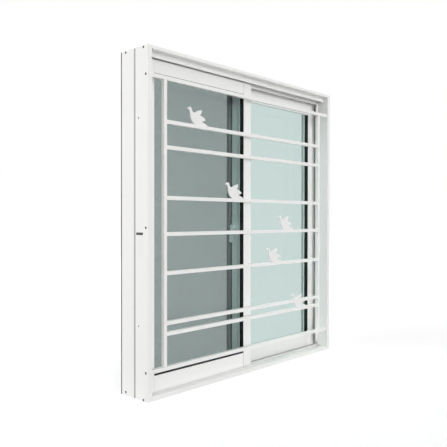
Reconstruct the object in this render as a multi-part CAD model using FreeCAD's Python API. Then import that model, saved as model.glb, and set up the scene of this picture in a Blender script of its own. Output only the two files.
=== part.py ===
import FreeCAD, Part
import math
import os

# Horizontal sliding window with a fixed security grille, in millimetres.
# X runs along the width, Y from the outdoor face to the room, Z up from the sill.
# The origin is the centre of the footprint, on the underside of the sill.
# Depths (named t) are measured from the outdoor face towards the room.

# Frame
WIDTH = 1010.0
HEIGHT = 1100.0
FRAME_WALL = 1.6
JAMB_LIP = 16.5
HEAD_LIP = 10.4
HEAD_BOX_DEPTH = 25.0
HEAD_FIN = 27.6
HEAD_MIDDLE_FIN = 19.0
HEAD_GUIDE = 36.0
SILL_LIP = 17.0
SILL_FRONT_DECK = 14.5
SILL_FRONT_DECK_END = 35.6
SILL_DECK = 8.0
SILL_TRACK = 17.4
SILL_BACK = 30.0
JAMB_GUIDE = 26.5
BACK_FLANGE = 20.0
GUIDE_WALL = 2.4

# Places of the tracks in the depth, and the room side behind the last one
FRONT_TRACK = 51.5
TRACK_PITCH = 38.0
SCREEN_TRACK_PITCH = 21.5
ROOM_MARGIN = 26.0

# Anchor groove and sealant groove along the jamb's outer face
ANCHOR_GROOVE_OFFSET = 9.5
ANCHOR_GROOVE_WIDTH = 8.0
ANCHOR_GROOVE_DEPTH = 3.4
SEAL_GROOVE_WIDTH = 4.5
SEAL_GROOVE_DEPTH = 3.4
SEAL_GROOVE_INSET = 1.6

# Holes for the wall screws, through each jamb's web in front of the front track
WALL_HOLE_RADIUS = 2.75
WALL_HOLE_OFFSET = 6.0
WALL_HOLE_LOW = 231.0
WALL_HOLE_SPACING = 648.0

# Ports for the corner screws, in head and sill, and the sunk seats of screw heads in the jambs
PORT_WIDTH = 7.0
PORT_HOLE_RADIUS = 1.9
FRONT_PORT = 22.0
SCREW_SEAT_RADIUS = 4.0
MIDDLE_SCREW_SHARE = 0.4895

# Sashes
SASH_THICKNESS = 27.0
SASH_WALL = 1.4
SASH_BOTTOM_GAP = 2.6
SASH_TOP_GAP = 27.8
OUTER_STILE_WIDTH = 46.0
MEETING_STILE_WIDTH = 40.6
TOP_RAIL_HEIGHT = 50.0
BOTTOM_RAIL_HEIGHT = 60.0
RAIL_JOINT = 0.4
STILE_CHANNEL = 21.0
TOP_CHANNEL = 20.0
BOTTOM_CHANNEL = 26.0
GLAZING_POCKET = 10.0
TRACK_NOTCH_WIDTH = 8.0
TRACK_NOTCH_CLEARANCE = 4.0

# Each sash: its gap to the jamb, and its reach past the middle of the window
FRONT_SASH_GAP = 11.0
FRONT_SASH_REACH = 23.4
REAR_SASH_GAP = 6.6
REAR_SASH_REACH = 12.0

# Interlock hooks between the meeting stiles
HOOK_REACH = 8.0
HOOK_OFFSET = 9.0
HOOK_LENGTH = 15.0

# Glass and gasket
GLASS_THICKNESS = 5.0
GLASS_REVEAL = 14.6
GLASS_BITE = 8.0
GASKET_FIT = 0.1
GASKET_SETBACK = 0.6
GASKET_BACK = 1.4

# Rollers
WHEEL_RADIUS = 8.0
WHEEL_GROOVE_RADIUS = 6.5
WHEEL_WIDTH = 7.0
WHEEL_GROOVE_WIDTH = 3.2
AXLE_RADIUS = 2.0
CARRIER_LENGTH = 44.0
CARRIER_HEIGHT = 15.0
CARRIER_WIDTH = 16.0
CARRIER_WALL = 1.5
ROLLER_INSET = 70.0
RUNNING_CLEARANCE = 0.1

# Insect screen
SCREEN_THICKNESS = 10.0
SCREEN_FRAME_WIDTH = 22.0
SCREEN_WALL = 1.1
SCREEN_SIDE_GAP = 8.0
SCREEN_TOP_GAP = 14.0
SCREEN_MEETING_EDGE = -6.0
SCREEN_GUIDE_REACH = 22.0
SCREEN_GUIDE_WALL = 1.2
SCREEN_GUIDE_CLEARANCE = 0.8
SPLINE_WIDTH = 4.0
SPLINE_DEPTH = 2.8
SPLINE_INSET = 0.8
MESH_THICKNESS = 0.4
SCREEN_BRUSH_WIDTH = 4.0
SCREEN_BRUSH_INSET = 1.6

# Grille of square tube
BAR_SIZE = 12.7
BAR_WALL = 1.2
BAR_FRONT = 4.5
SIDE_BAR_INSET = 69.0
TOP_BAR_DROP = 89.0
BOTTOM_BAR_RISE = 90.5

# Inner bars: the share of the way from the bottom bar up to the top bar
BAR_SHARES = {"bar_1": 0.851, "bar_2": 0.763, "bar_3": 0.589, "bar_4": 0.464,
              "bar_5": 0.329, "bar_6": 0.156, "bar_7": 0.119}

# Bird silhouettes: the bar that each stands on, and its feet as a share of the half width
BIRD_THICKNESS = 5.0
BIRD_LENGTH = 96.0
BIRD_SHARES = {"bar_1": -0.560, "bar_3": -0.194, "bar_4": 0.407, "bar_5": 0.262, "bar_7": 0.586}

# Cover of the unused front channel in the right jamb
COVER_REACH = 17.0
COVER_WALL = 1.4
COVER_CLEARANCE = 0.2

# Brush seals
BRUSH_WIDTH = 4.0
BRUSH_CLEARANCE = 0.3

# Crescent lock on the rear sash
LOCK_HEIGHT = 536.0
LOCK_PLATE_LENGTH = 92.0
LOCK_PLATE_WIDTH = 20.0
LOCK_PLATE_THICKNESS = 3.0
LOCK_HUB_RADIUS = 9.0
LOCK_HUB_LENGTH = 8.0
CRESCENT_THICKNESS = 3.0
CRESCENT_ANGLE = 80.0
LEVER_LENGTH = 60.0
LEVER_WIDTH = 15.0
LEVER_THICKNESS = 5.0
LEVER_LEAN = 6.0
KEEPER_THICKNESS = 2.5
KEEPER_LENGTH = 50.0
KEEPER_RISE = 14.0
KEEPER_WIDTH = 8.0
KEEPER_LIP = 8.0
KEEPER_LIP_LENGTH = 20.0

# Values worked out from the sizes above
HALF_WIDTH = WIDTH / 2
REAR_TRACK = FRONT_TRACK + TRACK_PITCH
SCREEN_TRACK = REAR_TRACK + SCREEN_TRACK_PITCH
DEPTH = SCREEN_TRACK + ROOM_MARGIN
ANCHOR_GROOVE_START = FRONT_TRACK + ANCHOR_GROOVE_OFFSET
WALL_HOLE_DEPTH = FRONT_TRACK - WALL_HOLE_OFFSET
HEAD_PORT_HEIGHT = HEIGHT - FRAME_WALL - PORT_WIDTH / 2
FRONT_SILL_PORT_HEIGHT = FRAME_WALL + PORT_WIDTH / 2
REAR_SILL_PORT_HEIGHT = SILL_DECK + PORT_WIDTH / 2
MID_DEPTH = (FRONT_TRACK + REAR_TRACK) / 2
SASH_BOTTOM = SILL_DECK + SASH_BOTTOM_GAP
SASH_TOP = HEIGHT - SASH_TOP_GAP
GLASS_LOW = SASH_BOTTOM + BOTTOM_RAIL_HEIGHT
GLASS_HIGH = SASH_TOP - TOP_RAIL_HEIGHT
FRAME_INSIDE = HALF_WIDTH - FRAME_WALL
GUIDE_BOTTOM = HEIGHT - HEAD_GUIDE
TOP_BAR_HEIGHT = HEIGHT - TOP_BAR_DROP
BOTTOM_BAR_HEIGHT = BOTTOM_BAR_RISE
MIDDLE_SCREW_HEIGHT = MIDDLE_SCREW_SHARE * HEIGHT
SEAL_GROOVE_END = DEPTH - SEAL_GROOVE_INSET
SEAL_GROOVE_START = SEAL_GROOVE_END - SEAL_GROOVE_WIDTH


def point(x, t, z):
    """A point of the window, with its depth from the outdoor face."""
    return FreeCAD.Vector(x, t - DEPTH / 2, z)


def box(x0, x1, t0, t1, z0, z1):
    """A block between two X values, two depths and two heights, in any order."""
    low = point(min(x0, x1), min(t0, t1), min(z0, z1))
    high = point(max(x0, x1), max(t0, t1), max(z0, z1))
    size = high - low
    return Part.makeBox(size.x, size.y, size.z, low)


def prism(points, direction):
    """The solid that a closed outline sweeps along a straight direction."""
    outline = Part.makePolygon(points + [points[0]])
    return Part.Face(outline).extrude(direction)


def upright(section, z0, z1):
    """A vertical extrusion of a section given as (x, t) pairs."""
    return prism([point(x, t, z0) for x, t in section], FreeCAD.Vector(0, 0, z1 - z0))


def level(section, x0, x1):
    """A horizontal extrusion along X of a section given as (t, z) pairs."""
    return prism([point(x0, t, z) for t, z in section], FreeCAD.Vector(x1 - x0, 0, 0))


def cylinder(radius, start, end):
    """A round bar from one point to another."""
    return Part.makeCylinder(radius, (end - start).Length, start, end - start)


def rectangle(a0, a1, b0, b1):
    """The corners of a rectangle, as pairs."""
    return [(a0, b0), (a1, b0), (a1, b1), (a0, b1)]


def rib(centre, thickness, height, floor):
    """The two steps that a thin rib adds to a stepped profile."""
    return [(centre - thickness / 2, height), (centre + thickness / 2, floor)]


def stepped(inner, outer):
    """The closed outline of a frame profile, as (t, h) pairs.

    Each side is a list of (t, h) steps: from that depth on, the side lies at height h
    above the frame's outer face, until the next step or the room side.
    """
    def walk(steps):
        ends = [t for t, h in steps[1:]] + [DEPTH]
        corners = []
        for (start, height), end in zip(steps, ends):
            corners += [(start, height), (end, height)]
        return corners
    return walk(inner) + walk(outer)[::-1]


def export(name, *shapes):
    """Write one sub-part, made of one or more solids, as a STEP file."""
    solids = [solid for shape in shapes for solid in shape.removeSplitter().Solids]
    shape = solids[0] if len(solids) == 1 else Part.makeCompound(solids)
    shape.exportStep("parts/" + name + ".step")


# Frame profiles

def screen_guides(height, floor):
    """The two thin fins that the insect screen runs between."""
    reach = SCREEN_THICKNESS / 2 + SCREEN_GUIDE_CLEARANCE + SCREEN_GUIDE_WALL / 2
    front = rib(SCREEN_TRACK - reach, SCREEN_GUIDE_WALL, height, floor)
    back = rib(SCREEN_TRACK + reach, SCREEN_GUIDE_WALL, height, floor)
    return front + back


def head():
    """The head: a hollow box behind the lip, a fin, two guides and a middle fin."""
    inner = [(0, HEAD_LIP), (HEAD_BOX_DEPTH, HEAD_FIN), (HEAD_BOX_DEPTH + FRAME_WALL, FRAME_WALL)]
    inner += rib(FRONT_TRACK, GUIDE_WALL, HEAD_GUIDE, FRAME_WALL)
    inner += rib(MID_DEPTH, FRAME_WALL, HEAD_MIDDLE_FIN, FRAME_WALL)
    inner += rib(REAR_TRACK, GUIDE_WALL, HEAD_GUIDE, FRAME_WALL)
    inner += screen_guides(SCREEN_GUIDE_REACH, FRAME_WALL)
    inner += [(DEPTH - FRAME_WALL, BACK_FLANGE)]
    section = [(t, HEIGHT - h) for t, h in stepped(inner, [(0, 0)])]
    chamber = rectangle(FRAME_WALL, HEAD_BOX_DEPTH, HEIGHT - HEAD_LIP + FRAME_WALL, HEIGHT - FRAME_WALL)
    bar = level(section, -FRAME_INSIDE, FRAME_INSIDE)
    bar = bar.cut(level(chamber, -FRAME_INSIDE, FRAME_INSIDE))
    bar = screw_port(bar, FRONT_PORT, HEAD_PORT_HEIGHT)
    bar = screw_port(bar, SCREEN_TRACK, HEAD_PORT_HEIGHT)
    return clear_jambs(bar, HEIGHT - HEAD_LIP, HEIGHT)


def sill():
    """The sill: a low lip, a hollow front deck, a lower deck with tracks and an upstand."""
    inner = [(0, SILL_LIP), (FRAME_WALL, SILL_FRONT_DECK), (SILL_FRONT_DECK_END, SILL_DECK)]
    inner += rib(FRONT_TRACK, GUIDE_WALL, SILL_TRACK, SILL_DECK)
    inner += rib(REAR_TRACK, GUIDE_WALL, SILL_TRACK, SILL_DECK)
    inner += rib(SCREEN_TRACK, GUIDE_WALL, SILL_TRACK, SILL_DECK)
    inner += [(DEPTH - FRAME_WALL, SILL_BACK)]
    front_chamber = rectangle(FRAME_WALL, SILL_FRONT_DECK_END - FRAME_WALL, FRAME_WALL,
                              SILL_FRONT_DECK - FRAME_WALL)
    back_chamber = rectangle(SILL_FRONT_DECK_END, DEPTH - FRAME_WALL, FRAME_WALL, SILL_DECK - FRAME_WALL)
    bar = level(stepped(inner, [(0, 0)]), -FRAME_INSIDE, FRAME_INSIDE)
    bar = bar.cut(level(front_chamber, -FRAME_INSIDE, FRAME_INSIDE))
    bar = bar.cut(level(back_chamber, -FRAME_INSIDE, FRAME_INSIDE))
    bar = screw_port(bar, FRONT_PORT, FRONT_SILL_PORT_HEIGHT)
    bar = screw_port(bar, SCREEN_TRACK, REAR_SILL_PORT_HEIGHT)
    return clear_jambs(bar, 0, SILL_LIP)


def screw_port(bar, depth, height):
    """Add a square port with a round hole along the head or sill, for a corner screw."""
    half = PORT_WIDTH / 2
    block = box(-FRAME_INSIDE, FRAME_INSIDE, depth - half, depth + half, height - half, height + half)
    hole = cylinder(PORT_HOLE_RADIUS, point(-FRAME_INSIDE, depth, height),
                    point(FRAME_INSIDE, depth, height))
    return bar.fuse(block).cut(hole)


def clear_jambs(bar, z0, z1):
    """Cut the ends of the head or sill back from the jambs' lips and grooves."""
    groove = FRAME_WALL + ANCHOR_GROOVE_DEPTH
    groove_end = ANCHOR_GROOVE_START + ANCHOR_GROOVE_WIDTH
    seal = FRAME_WALL + SEAL_GROOVE_DEPTH
    for side in (-1, 1):
        end = side * HALF_WIDTH
        bar = bar.cut(box(end - side * JAMB_LIP, end, 0, FRAME_WALL, z0, z1))
        bar = bar.cut(box(end - side * groove, end, ANCHOR_GROOVE_START - FRAME_WALL,
                          groove_end + FRAME_WALL, 0, HEIGHT))
        bar = bar.cut(box(end - side * seal, end, SEAL_GROOVE_START - FRAME_WALL, DEPTH, 0, HEIGHT))
    return bar


def jamb_section(side, with_guides):
    """A jamb's profile as (x, t) pairs, with or without its guides and fins."""
    groove_end = ANCHOR_GROOVE_START + ANCHOR_GROOVE_WIDTH
    groove_floor = ANCHOR_GROOVE_DEPTH + FRAME_WALL
    seal_floor = SEAL_GROOVE_DEPTH + FRAME_WALL
    inner = [(0, JAMB_LIP), (FRAME_WALL, FRAME_WALL)]
    if with_guides:
        inner += rib(FRONT_TRACK, GUIDE_WALL, JAMB_GUIDE, FRAME_WALL)
    inner += [(ANCHOR_GROOVE_START - FRAME_WALL, groove_floor), (groove_end + FRAME_WALL, FRAME_WALL)]
    if with_guides:
        inner += rib(REAR_TRACK, GUIDE_WALL, JAMB_GUIDE, FRAME_WALL)
        inner += screen_guides(BACK_FLANGE, FRAME_WALL)
    inner += [(SEAL_GROOVE_START - FRAME_WALL, seal_floor)]
    if with_guides:
        inner += [(DEPTH - FRAME_WALL, BACK_FLANGE)]
    outer = [(0, 0), (ANCHOR_GROOVE_START, ANCHOR_GROOVE_DEPTH), (groove_end, 0)]
    outer += [(SEAL_GROOVE_START, SEAL_GROOVE_DEPTH), (SEAL_GROOVE_END, 0)]
    return [(side * (HALF_WIDTH - h), t) for t, h in stepped(inner, outer)]


def jamb(side):
    """A jamb: its web and lip run full height, its guides stop at sill and head."""
    bar = upright(jamb_section(side, False), 0, HEIGHT)
    bar = bar.fuse(upright(jamb_section(side, True), SILL_BACK, GUIDE_BOTTOM))
    bar = bar.cut(web_hole(side, WALL_HOLE_RADIUS, WALL_HOLE_DEPTH, WALL_HOLE_LOW))
    bar = bar.cut(web_hole(side, WALL_HOLE_RADIUS, WALL_HOLE_DEPTH, WALL_HOLE_LOW + WALL_HOLE_SPACING))
    bar = bar.cut(web_hole(side, SCREW_SEAT_RADIUS, FRONT_PORT, HEAD_PORT_HEIGHT))
    bar = bar.cut(web_hole(side, SCREW_SEAT_RADIUS, SCREEN_TRACK, HEAD_PORT_HEIGHT))
    bar = bar.cut(web_hole(side, SCREW_SEAT_RADIUS, FRONT_PORT, FRONT_SILL_PORT_HEIGHT))
    bar = bar.cut(web_hole(side, SCREW_SEAT_RADIUS, SCREEN_TRACK, REAR_SILL_PORT_HEIGHT))
    bar_centre = BAR_FRONT + BAR_SIZE / 2
    bar = bar.cut(web_hole(side, SCREW_SEAT_RADIUS, bar_centre, BOTTOM_BAR_HEIGHT))
    bar = bar.cut(web_hole(side, SCREW_SEAT_RADIUS, bar_centre, MIDDLE_SCREW_HEIGHT))
    return bar.cut(web_hole(side, SCREW_SEAT_RADIUS, bar_centre, TOP_BAR_HEIGHT))


def web_hole(side, radius, depth, height):
    """The round cutter of a hole through a jamb's web."""
    outside = point(side * HALF_WIDTH, depth, height)
    return cylinder(radius, outside, point(side * FRAME_INSIDE, depth, height))


def channel_cover():
    """The snap-in cover that closes the right jamb's front channel."""
    front = FRAME_WALL + COVER_CLEARANCE
    back = FRONT_TRACK - GUIDE_WALL / 2 - COVER_CLEARANCE
    face = HALF_WIDTH - COVER_REACH
    behind = face + COVER_WALL
    web = FRAME_INSIDE
    section = [(web, front), (face, front), (face, back), (web, back), (web, back - COVER_WALL),
               (behind, back - COVER_WALL), (behind, front + COVER_WALL), (web, front + COVER_WALL)]
    low = SILL_FRONT_DECK + COVER_CLEARANCE
    high = HEIGHT - HEAD_LIP - COVER_CLEARANCE
    below_fin = HEIGHT - HEAD_FIN - COVER_CLEARANCE
    cover = upright(section, low, high)
    cover = cover.cut(box(face, web, HEAD_BOX_DEPTH - COVER_CLEARANCE, back, below_fin, high))
    for height in (BOTTOM_BAR_HEIGHT, TOP_BAR_HEIGHT):
        reach = BAR_SIZE / 2 + COVER_CLEARANCE
        back_of_bar = BAR_FRONT + BAR_SIZE + COVER_CLEARANCE
        cover = cover.cut(box(face, web, BAR_FRONT - COVER_CLEARANCE, back_of_bar,
                              height - reach, height + reach))
    return cover


def jamb_brush(side, depth, gap):
    """A strip of black pile between a jamb's web and the edge of its sash."""
    edge = side * (HALF_WIDTH - gap + BRUSH_CLEARANCE)
    return box(side * FRAME_INSIDE, edge, depth, depth + BRUSH_WIDTH, SILL_BACK, GUIDE_BOTTOM)


# Sashes

def member_section(width, channel, front):
    """A sash profile as (w, t) pairs, w from its outer edge to the glass.

    It has a channel for the track on the outside and a glazing pocket on the inside, closed
    behind the pane.
    """
    pocket = width - GLAZING_POCKET
    near = front + SASH_WALL
    back = front + SASH_THICKNESS
    far = back - SASH_WALL
    behind = pocket_back(front)
    return [(0, front), (width, front), (width, near), (pocket, near), (pocket, behind), (width, behind),
            (width, back), (0, back), (0, far), (channel, far), (channel, near), (0, near)]


def pocket_back(front):
    """The depth at which the glazing pocket ends, just behind the pane."""
    return front + GLASS_REVEAL + GLASS_THICKNESS + GASKET_BACK


def member_hollows(width, channel, front):
    """The closed chambers beside the channel and behind the glazing pocket."""
    far = front + SASH_THICKNESS - SASH_WALL
    pocket = width - GLAZING_POCKET
    return [rectangle(channel + SASH_WALL, pocket - SASH_WALL, front + SASH_WALL, far),
            rectangle(pocket, width - SASH_WALL, pocket_back(front) + SASH_WALL, far)]


def track_notches(track):
    """The blocks that clear a stile's ends from the track below and the guide above."""
    t0 = track - TRACK_NOTCH_WIDTH / 2
    t1 = track + TRACK_NOTCH_WIDTH / 2
    low = box(-HALF_WIDTH, HALF_WIDTH, t0, t1, 0, SILL_TRACK + TRACK_NOTCH_CLEARANCE)
    high = box(-HALF_WIDTH, HALF_WIDTH, t0, t1, GUIDE_BOTTOM - TRACK_NOTCH_CLEARANCE, HEIGHT)
    return low.fuse(high)


def outer_stile(side, track, gap):
    """The stile that closes into the jamb, with its channel over the jamb's guide."""
    front = track - SASH_THICKNESS / 2
    edge = HALF_WIDTH - gap
    solid = member_section(OUTER_STILE_WIDTH, STILE_CHANNEL, front)
    bar = upright([(side * (edge - w), t) for w, t in solid], SASH_BOTTOM, SASH_TOP)
    for hollow in member_hollows(OUTER_STILE_WIDTH, STILE_CHANNEL, front):
        bar = bar.cut(upright([(side * (edge - w), t) for w, t in hollow], SASH_BOTTOM, SASH_TOP))
    return bar.cut(track_notches(track))


def meeting_stile(side, track, reach, hook_side):
    """The stile at mid-window: a closed tube with a glazing pocket and a hook."""
    front = track - SASH_THICKNESS / 2
    back = front + SASH_THICKNESS
    near = front + SASH_WALL
    far = back - SASH_WALL
    behind = pocket_back(front)
    width = MEETING_STILE_WIDTH
    pocket = width - GLAZING_POCKET
    solid = [(0, front), (width, front), (width, near), (pocket, near), (pocket, behind),
             (width, behind), (width, back), (0, back)]
    hollows = [rectangle(SASH_WALL, pocket - SASH_WALL, near, far),
               rectangle(pocket, width - SASH_WALL, behind + SASH_WALL, far)]
    bar = upright([(side * (w - reach), t) for w, t in solid], SASH_BOTTOM, SASH_TOP)
    for hollow in hollows:
        bar = bar.cut(upright([(side * (w - reach), t) for w, t in hollow], SASH_BOTTOM, SASH_TOP))
    bar = bar.cut(track_notches(track))
    root = back if hook_side > 0 else front
    tip = root + hook_side * HOOK_REACH
    inner_tip = tip - hook_side * SASH_WALL
    leg = HOOK_OFFSET
    hook = [(leg, root), (leg, tip), (leg + HOOK_LENGTH, tip), (leg + HOOK_LENGTH, inner_tip),
            (leg + SASH_WALL, inner_tip), (leg + SASH_WALL, root)]
    return bar.fuse(upright([(side * (w - reach), t) for w, t in hook], SASH_BOTTOM, SASH_TOP))


def rail(side, track, sightlines, edge, direction, height, channel):
    """A rail between the stiles, its channel towards the frame."""
    front = track - SASH_THICKNESS / 2
    start = side * (sightlines[0] - RAIL_JOINT)
    end = side * (sightlines[1] + RAIL_JOINT)
    bar = level([(t, edge + direction * w) for w, t in member_section(height, channel, front)], start, end)
    for hollow in member_hollows(height, channel, front):
        bar = bar.cut(level([(t, edge + direction * w) for w, t in hollow], start, end))
    return bar


def glass(side, track, sightlines):
    """The pane, held by its edges in the gasket."""
    face = track - SASH_THICKNESS / 2 + GLASS_REVEAL
    return box(side * (sightlines[0] + GLASS_BITE), side * (sightlines[1] - GLASS_BITE), face,
               face + GLASS_THICKNESS, GLASS_LOW - GLASS_BITE, GLASS_HIGH + GLASS_BITE)


def gasket(side, track, sightlines):
    """Four rubber strips that fill the glazing pockets round the pane."""
    front = track - SASH_THICKNESS / 2 + SASH_WALL + GASKET_FIT
    back = pocket_back(track - SASH_THICKNESS / 2) - GASKET_FIT
    far_edge = GLAZING_POCKET - GASKET_FIT
    outer = sightlines[0] + far_edge
    meeting = sightlines[1] - far_edge
    low = GLASS_LOW - far_edge
    high = GLASS_HIGH + far_edge
    near_outer = sightlines[0] + GASKET_SETBACK
    near_meeting = sightlines[1] - GASKET_SETBACK
    near_low = GLASS_LOW - GASKET_SETBACK
    near_high = GLASS_HIGH + GASKET_SETBACK
    strips = [box(side * outer, side * near_outer, front, back, low, high),
              box(side * meeting, side * near_meeting, front, back, low, high)]
    start = side * (near_meeting + GASKET_FIT)
    end = side * (near_outer - GASKET_FIT)
    strips += [box(start, end, front, back, low, near_low),
               box(start, end, front, back, near_high, high)]
    face = track - SASH_THICKNESS / 2 + GLASS_REVEAL
    slot = box(side * (sightlines[0] + GLASS_BITE + GASKET_FIT),
               side * (sightlines[1] - GLASS_BITE - GASKET_FIT),
               face - GASKET_FIT, face + GLASS_THICKNESS + GASKET_FIT,
               GLASS_LOW - GLASS_BITE - GASKET_FIT, GLASS_HIGH + GLASS_BITE + GASKET_FIT)
    return [strip.cut(slot) for strip in strips]


def roller(x, track):
    """A grooved wheel on its axle in a carrier, under the bottom rail."""
    top = SASH_BOTTOM + BOTTOM_CHANNEL
    centre = SILL_TRACK + WHEEL_GROOVE_RADIUS + RUNNING_CLEARANCE
    half = CARRIER_WIDTH / 2
    inside = half - CARRIER_WALL
    section = [(track - half, top - CARRIER_HEIGHT), (track - half, top), (track + half, top),
               (track + half, top - CARRIER_HEIGHT), (track + inside, top - CARRIER_HEIGHT),
               (track + inside, top - CARRIER_WALL), (track - inside, top - CARRIER_WALL),
               (track - inside, top - CARRIER_HEIGHT)]
    carrier = level(section, x - CARRIER_LENGTH / 2, x + CARRIER_LENGTH / 2)
    axle = cylinder(AXLE_RADIUS, point(x, track - inside, centre), point(x, track + inside, centre))
    rim = WHEEL_WIDTH / 2
    groove = WHEEL_GROOVE_WIDTH / 2
    wheel = cylinder(WHEEL_RADIUS, point(x, track - rim, centre), point(x, track + rim, centre))
    hub = cylinder(WHEEL_GROOVE_RADIUS, point(x, track - groove, centre), point(x, track + groove, centre))
    ring = cylinder(WHEEL_RADIUS, point(x, track - groove, centre), point(x, track + groove, centre))
    return carrier.fuse(axle).fuse(wheel.cut(ring.cut(hub)))


def sash(name, side, track, gap, reach, hook_side):
    """One sash with its stiles, rails, pane, gasket and rollers.

    Its sightlines are the inner edges of its stiles, measured from the window's middle.
    """
    sightlines = (HALF_WIDTH - gap - OUTER_STILE_WIDTH, MEETING_STILE_WIDTH - reach)
    export(name + "_outer_stile", outer_stile(side, track, gap))
    export(name + "_meeting_stile", meeting_stile(side, track, reach, hook_side))
    export(name + "_top_rail",
           rail(side, track, sightlines, SASH_TOP, -1, TOP_RAIL_HEIGHT, TOP_CHANNEL))
    export(name + "_bottom_rail",
           rail(side, track, sightlines, SASH_BOTTOM, 1, BOTTOM_RAIL_HEIGHT, BOTTOM_CHANNEL))
    export(name + "_glass", glass(side, track, sightlines))
    export(name + "_gasket", *gasket(side, track, sightlines))
    outer_roller = side * (sightlines[0] - ROLLER_INSET)
    meeting_roller = side * (sightlines[1] + ROLLER_INSET)
    export(name + "_rollers", roller(outer_roller, track), roller(meeting_roller, track))


# Insect screen behind the front sash

SCREEN_FRONT = SCREEN_TRACK - SCREEN_THICKNESS / 2
SCREEN_BACK = SCREEN_TRACK + SCREEN_THICKNESS / 2
SCREEN_LEFT = SCREEN_SIDE_GAP - HALF_WIDTH
SCREEN_RIGHT = SCREEN_MEETING_EDGE
SCREEN_LOW = SILL_TRACK
SCREEN_HIGH = HEIGHT - SCREEN_TOP_GAP


def spline_lines():
    """The spline's outer edges: left, right, low and high."""
    inset = SCREEN_FRAME_WIDTH - SPLINE_INSET - SPLINE_WIDTH
    return (SCREEN_LEFT + inset, SCREEN_RIGHT - inset, SCREEN_LOW + inset, SCREEN_HIGH - inset)


def spline_groove():
    """The rectangular groove round the screen that holds the mesh down."""
    left, right, low, high = spline_lines()
    floor = SCREEN_FRONT + SPLINE_DEPTH
    outside = box(left, right, SCREEN_FRONT, floor, low, high)
    inside = box(left + SPLINE_WIDTH, right - SPLINE_WIDTH, SCREEN_FRONT, floor,
                 low + SPLINE_WIDTH, high - SPLINE_WIDTH)
    return outside.cut(inside)


def screen_bar(x0, x1, z0, z1, hollow_along_z):
    """One tube of the screen's frame, with its share of the spline groove."""
    tube = box(x0, x1, SCREEN_FRONT, SCREEN_BACK, z0, z1)
    front = SCREEN_FRONT + SPLINE_DEPTH + SCREEN_WALL
    back = SCREEN_BACK - SCREEN_WALL
    if hollow_along_z:
        core = box(x0 + SCREEN_WALL, x1 - SCREEN_WALL, front, back, z0, z1)
    else:
        core = box(x0, x1, front, back, z0 + SCREEN_WALL, z1 - SCREEN_WALL)
    return tube.cut(core).cut(spline_groove())


def screen():
    """The insect screen: four tubes, the mesh sheet, its spline and a brush."""
    left_inside = SCREEN_LEFT + SCREEN_FRAME_WIDTH
    right_inside = SCREEN_RIGHT - SCREEN_FRAME_WIDTH
    low_inside = SCREEN_LOW + SCREEN_FRAME_WIDTH
    high_inside = SCREEN_HIGH - SCREEN_FRAME_WIDTH
    export("screen_left_stile", screen_bar(SCREEN_LEFT, left_inside, SCREEN_LOW, SCREEN_HIGH, True))
    export("screen_right_stile", screen_bar(right_inside, SCREEN_RIGHT, SCREEN_LOW, SCREEN_HIGH, True))
    export("screen_bottom_rail", screen_bar(left_inside, right_inside, SCREEN_LOW, low_inside, False))
    export("screen_top_rail", screen_bar(left_inside, right_inside, high_inside, SCREEN_HIGH, False))
    left, right, low, high = spline_lines()
    floor = SCREEN_FRONT + SPLINE_DEPTH
    face = SCREEN_FRONT - MESH_THICKNESS
    strips = [box(left, left + SPLINE_WIDTH, face, floor, low, high),
              box(right - SPLINE_WIDTH, right, face, floor, low, high)]
    start = left + SPLINE_WIDTH + GASKET_FIT
    end = right - SPLINE_WIDTH - GASKET_FIT
    strips += [box(start, end, face, floor, low, low + SPLINE_WIDTH),
               box(start, end, face, floor, high - SPLINE_WIDTH, high)]
    export("screen_spline", *strips)
    export("screen_mesh", box(start, end, face, SCREEN_FRONT, low + SPLINE_WIDTH, high - SPLINE_WIDTH))
    brush_right = SCREEN_RIGHT - SCREEN_BRUSH_INSET
    brush_back = REAR_TRACK + SASH_THICKNESS / 2 + BRUSH_CLEARANCE
    export("screen_brush", box(brush_right - SCREEN_BRUSH_WIDTH, brush_right, brush_back, SCREEN_FRONT,
                               GLASS_LOW, GLASS_HIGH))


# Security grille

BAR_BACK = BAR_FRONT + BAR_SIZE
BAR_HEIGHTS = {name: BOTTOM_BAR_HEIGHT + share * (TOP_BAR_HEIGHT - BOTTOM_BAR_HEIGHT)
               for name, share in BAR_SHARES.items()}
SIDE_BAR_OUTER = HALF_WIDTH - SIDE_BAR_INSET
SIDE_BAR_INNER = SIDE_BAR_OUTER - BAR_SIZE


def level_bar(x0, x1, height):
    """A horizontal square tube of the grille, by the height of its centre."""
    half = BAR_SIZE / 2
    core = half - BAR_WALL
    tube = box(x0, x1, BAR_FRONT, BAR_BACK, height - half, height + half)
    return tube.cut(box(x0, x1, BAR_FRONT + BAR_WALL, BAR_BACK - BAR_WALL, height - core, height + core))


def side_bar(side):
    """An upright square tube of the grille, between the top and bottom bars."""
    low = BOTTOM_BAR_HEIGHT + BAR_SIZE / 2
    high = TOP_BAR_HEIGHT - BAR_SIZE / 2
    tube = box(side * SIDE_BAR_INNER, side * SIDE_BAR_OUTER, BAR_FRONT, BAR_BACK, low, high)
    return tube.cut(box(side * (SIDE_BAR_INNER + BAR_WALL), side * (SIDE_BAR_OUTER - BAR_WALL),
                        BAR_FRONT + BAR_WALL, BAR_BACK - BAR_WALL, low, high))


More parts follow.
